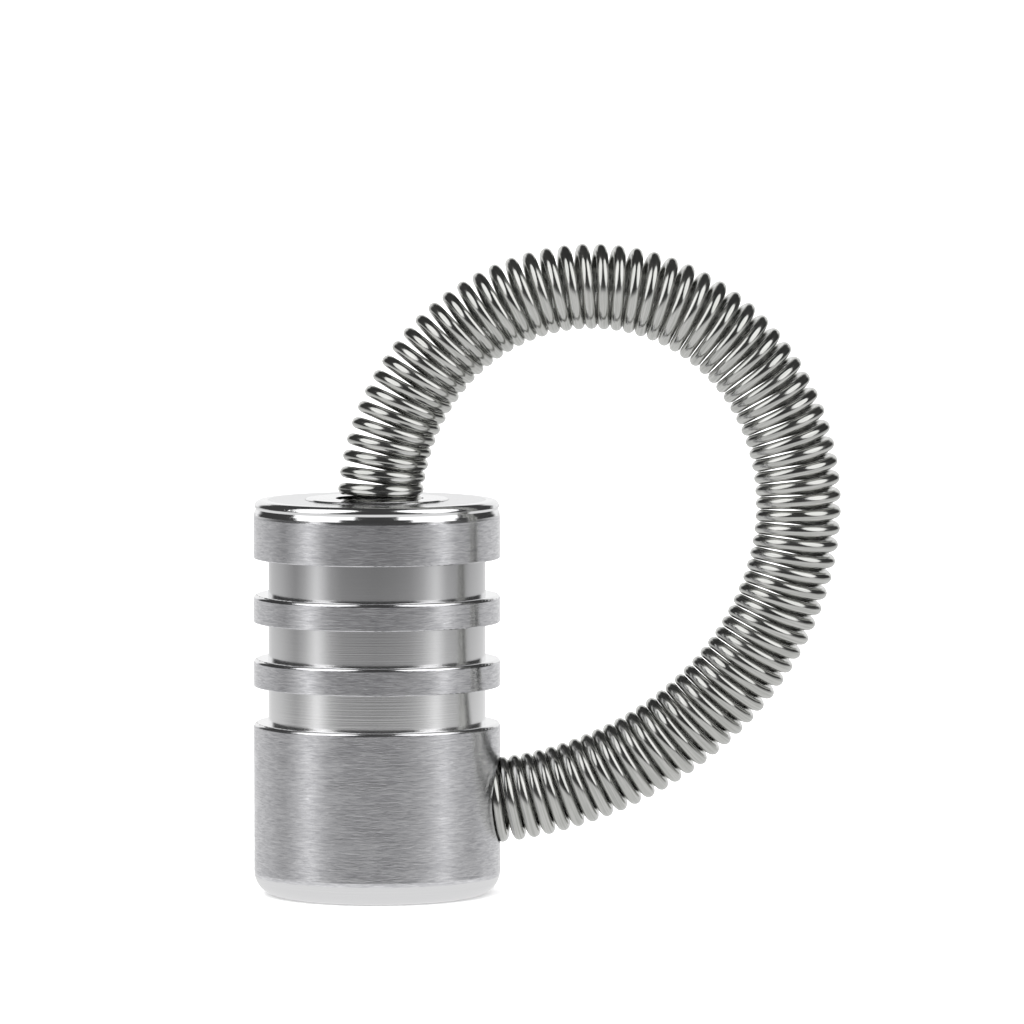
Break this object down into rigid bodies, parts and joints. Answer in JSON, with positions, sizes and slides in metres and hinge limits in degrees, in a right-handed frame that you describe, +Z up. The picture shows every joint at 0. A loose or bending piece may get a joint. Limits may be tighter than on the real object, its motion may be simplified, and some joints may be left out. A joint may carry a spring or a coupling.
{
  "type": "hand grip strengthener",
  "caption": "Turned metal grip cylinder with finger grooves and a springy loop of close-wound wire from its top to its side.",
  "frame": {"origin": "centre of the cylinder's flat base", "axes": "+Z up along the cylinder, +X towards the spring loop, the loop lies in the X-Z plane"},
  "size_m": [0.0857, 0.036, 0.095],
  "materials": {
    "turned_aluminium": "fine turned and brushed, polished edges and ends",
    "spring_steel": "polished spring steel wire",
    "anchor_steel": "plain turned steel",
    "screw_steel": "dark oxide"
  },
  "bodies": {
    "grip": {"grip_body": "turned_aluminium", "top_plug": "turned_aluminium", "upper_spring_anchor": "anchor_steel", "anchor_cap_screw": "screw_steel", "lower_spring_anchor": "anchor_steel", "anchor_set_screw": "screw_steel", "loop_spring_top_end": "spring_steel", "loop_spring_side_end": "spring_steel"},
    "turns_01": {"loop_spring_turns_01": "spring_steel"},
    "turns_02": {"loop_spring_turns_02": "spring_steel"},
    "turns_03": {"loop_spring_turns_03": "spring_steel"},
    "turns_04": {"loop_spring_turns_04": "spring_steel"},
    "turns_05": {"loop_spring_turns_05": "spring_steel"},
    "turns_06": {"loop_spring_turns_06": "spring_steel"},
    "turns_07": {"loop_spring_turns_07": "spring_steel"},
    "turns_08": {"loop_spring_turns_08": "spring_steel"},
    "turns_09": {"loop_spring_turns_09": "spring_steel"},
    "turns_10": {"loop_spring_turns_10": "spring_steel"},
    "turns_11": {"loop_spring_turns_11": "spring_steel"},
    "turns_12": {"loop_spring_turns_12": "spring_steel"},
    "turns_13": {"loop_spring_turns_13": "spring_steel"},
    "turns_14": {"loop_spring_turns_14": "spring_steel"},
    "turns_15": {"loop_spring_turns_15": "spring_steel"},
    "turns_16": {"loop_spring_turns_16": "spring_steel"},
    "turns_17": {"loop_spring_turns_17": "spring_steel"},
    "turns_18": {"loop_spring_turns_18": "spring_steel"},
    "turns_19": {"loop_spring_turns_19": "spring_steel"},
    "turns_20": {"loop_spring_turns_20": "spring_steel"},
    "turns_21": {"loop_spring_turns_21": "spring_steel"}
  },
  "joints": [
    {"name": "loop_bend_01", "type": "hinge", "parent": "grip", "child": "turns_01", "pos_m": [0.00598, 0, 0.05924], "axis": [0, -1, 0], "range_deg": [-0.62, 2.82], "stiffness_Nm_per_rad": 2.69, "springref_deg": 0.31},
    {"name": "loop_bend_02", "type": "hinge", "parent": "turns_01", "child": "turns_02", "pos_m": [0.00625, 0, 0.06104], "axis": [0, -1, 0], "range_deg": [-0.66, 2.91], "stiffness_Nm_per_rad": 2.69, "springref_deg": 0.31},
    {"name": "loop_bend_03", "type": "hinge", "parent": "turns_02", "child": "turns_03", "pos_m": [0.00663, 0, 0.06283], "axis": [0, -1, 0], "range_deg": [-0.58, 2.56], "stiffness_Nm_per_rad": 2.69, "springref_deg": 0.31},
    {"name": "loop_bend_04", "type": "hinge", "parent": "turns_03", "child": "turns_04", "pos_m": [0.00711, 0, 0.06459], "axis": [0, -1, 0], "range_deg": [-0.69, 3.04], "stiffness_Nm_per_rad": 1.793, "springref_deg": 0.46},
    {"name": "loop_bend_05", "type": "hinge", "parent": "turns_04", "child": "turns_05", "pos_m": [0.00839, 0, 0.068], "axis": [0, -1, 0], "range_deg": [-0.67, 2.96], "stiffness_Nm_per_rad": 1.345, "springref_deg": 0.59},
    {"name": "loop_bend_06", "type": "hinge", "parent": "turns_05", "child": "turns_06", "pos_m": [0.0101, 0, 0.07122], "axis": [0, -1, 0], "range_deg": [-0.46, 2.02], "stiffness_Nm_per_rad": 1.076, "springref_deg": 0.7},
    {"name": "loop_bend_07", "type": "hinge", "parent": "turns_06", "child": "turns_07", "pos_m": [0.01342, 0, 0.07556], "axis": [0, -1, 0], "range_deg": [-0.29, 0.08], "stiffness_Nm_per_rad": 0.672, "springref_deg": 1.01},
    {"name": "loop_bend_08", "type": "hinge", "parent": "turns_07", "child": "turns_08", "pos_m": [0.02071, 0, 0.08096], "axis": [0, -1, 0], "range_deg": [-5.48, 1.22], "stiffness_Nm_per_rad": 0.489, "springref_deg": 1.09},
    {"name": "loop_bend_09", "type": "hinge", "parent": "turns_08", "child": "turns_09", "pos_m": [0.03127, 0, 0.08343], "axis": [0, -1, 0], "range_deg": [-7.79, 1.73], "stiffness_Nm_per_rad": 0.448, "springref_deg": 0.74},
    {"name": "loop_bend_10", "type": "hinge", "parent": "turns_09", "child": "turns_10", "pos_m": [0.04185, 0, 0.08098], "axis": [0, -1, 0], "range_deg": [-6.16, 1.37], "stiffness_Nm_per_rad": 0.448, "springref_deg": 0.33},
    {"name": "loop_bend_11", "type": "hinge", "parent": "turns_10", "child": "turns_11", "pos_m": [0.05028, 0, 0.07414], "axis": [0, -1, 0], "range_deg": [-1.73, 0.4], "stiffness_Nm_per_rad": 0.489, "springref_deg": 0.02},
    {"name": "loop_bend_12", "type": "hinge", "parent": "turns_11", "child": "turns_12", "pos_m": [0.0546, 0, 0.06614], "axis": [0, -1, 0], "range_deg": [-0.66, 2.9], "stiffness_Nm_per_rad": 0.672, "springref_deg": -0.08},
    {"name": "loop_bend_13", "type": "hinge", "parent": "turns_12", "child": "turns_13", "pos_m": [0.05583, 0, 0.06081], "axis": [0, -1, 0], "range_deg": [-0.7, 3.11], "stiffness_Nm_per_rad": 1.076, "springref_deg": -0.07},
    {"name": "loop_bend_14", "type": "hinge", "parent": "turns_13", "child": "turns_14", "pos_m": [0.05608, 0, 0.05717], "axis": [0, -1, 0], "range_deg": [-0.67, 2.98], "stiffness_Nm_per_rad": 1.345, "springref_deg": -0.06},
    {"name": "loop_bend_15", "type": "hinge", "parent": "turns_14", "child": "turns_15", "pos_m": [0.05589, 0, 0.05352], "axis": [0, -1, 0], "range_deg": [-0.65, 2.85], "stiffness_Nm_per_rad": 1.345, "springref_deg": -0.06},
    {"name": "loop_bend_16", "type": "hinge", "parent": "turns_15", "child": "turns_16", "pos_m": [0.05527, 0, 0.04992], "axis": [0, -1, 0], "range_deg": [-0.62, 2.72], "stiffness_Nm_per_rad": 1.345, "springref_deg": -0.06},
    {"name": "loop_bend_17", "type": "hinge", "parent": "turns_16", "child": "turns_17", "pos_m": [0.05427, 0, 0.04641], "axis": [0, -1, 0], "range_deg": [-0.55, 2.4], "stiffness_Nm_per_rad": 1.345, "springref_deg": -0.06},
    {"name": "loop_bend_18", "type": "hinge", "parent": "turns_17", "child": "turns_18", "pos_m": [0.05289, 0, 0.04303], "axis": [0, -1, 0], "range_deg": [-0.49, 2.15], "stiffness_Nm_per_rad": 1.076, "springref_deg": -0.06},
    {"name": "loop_bend_19", "type": "hinge", "parent": "turns_18", "child": "turns_19", "pos_m": [0.0502, 0, 0.03826], "axis": [0, -1, 0], "range_deg": [-0.29, 1.24], "stiffness_Nm_per_rad": 0.672, "springref_deg": -0.08},
    {"name": "loop_bend_20", "type": "hinge", "parent": "turns_19", "child": "turns_20", "pos_m": [0.04431, 0, 0.03131], "axis": [0, -1, 0], "range_deg": [-4.03, 0.91], "stiffness_Nm_per_rad": 0.489, "springref_deg": -0.06},
    {"name": "loop_bend_21", "type": "hinge", "parent": "turns_20", "child": "turns_21", "pos_m": [0.03548, 0, 0.02488], "axis": [0, -1, 0], "range_deg": [-6.71, 1.5], "stiffness_Nm_per_rad": 0.414, "springref_deg": -0.02}
  ],
  "couplings": [
    {"joint": "loop_bend_02", "follows": "loop_bend_01", "ratio": 1.0231},
    {"joint": "loop_bend_03", "follows": "loop_bend_01", "ratio": 0.8993},
    {"joint": "loop_bend_04", "follows": "loop_bend_01", "ratio": 1.0695},
    {"joint": "loop_bend_05", "follows": "loop_bend_01", "ratio": 1.0415},
    {"joint": "loop_bend_06", "follows": "loop_bend_01", "ratio": 0.7081},
    {"joint": "loop_bend_07", "follows": "loop_bend_01", "ratio": -0.0937},
    {"joint": "loop_bend_08", "follows": "loop_bend_01", "ratio": -1.9337},
    {"joint": "loop_bend_09", "follows": "loop_bend_01", "ratio": -2.7545},
    {"joint": "loop_bend_10", "follows": "loop_bend_01", "ratio": -2.177},
    {"joint": "loop_bend_11", "follows": "loop_bend_01", "ratio": -0.6057},
    {"joint": "loop_bend_12", "follows": "loop_bend_01", "ratio": 1.0193},
    {"joint": "loop_bend_13", "follows": "loop_bend_01", "ratio": 1.0945},
    {"joint": "loop_bend_14", "follows": "loop_bend_01", "ratio": 1.048},
    {"joint": "loop_bend_15", "follows": "loop_bend_01", "ratio": 1.0016},
    {"joint": "loop_bend_16", "follows": "loop_bend_01", "ratio": 0.9561},
    {"joint": "loop_bend_17", "follows": "loop_bend_01", "ratio": 0.8432},
    {"joint": "loop_bend_18", "follows": "loop_bend_01", "ratio": 0.7542},
    {"joint": "loop_bend_19", "follows": "loop_bend_01", "ratio": 0.4316},
    {"joint": "loop_bend_20", "follows": "loop_bend_01", "ratio": -1.4198},
    {"joint": "loop_bend_21", "follows": "loop_bend_01", "ratio": -2.3711}
  ]
}
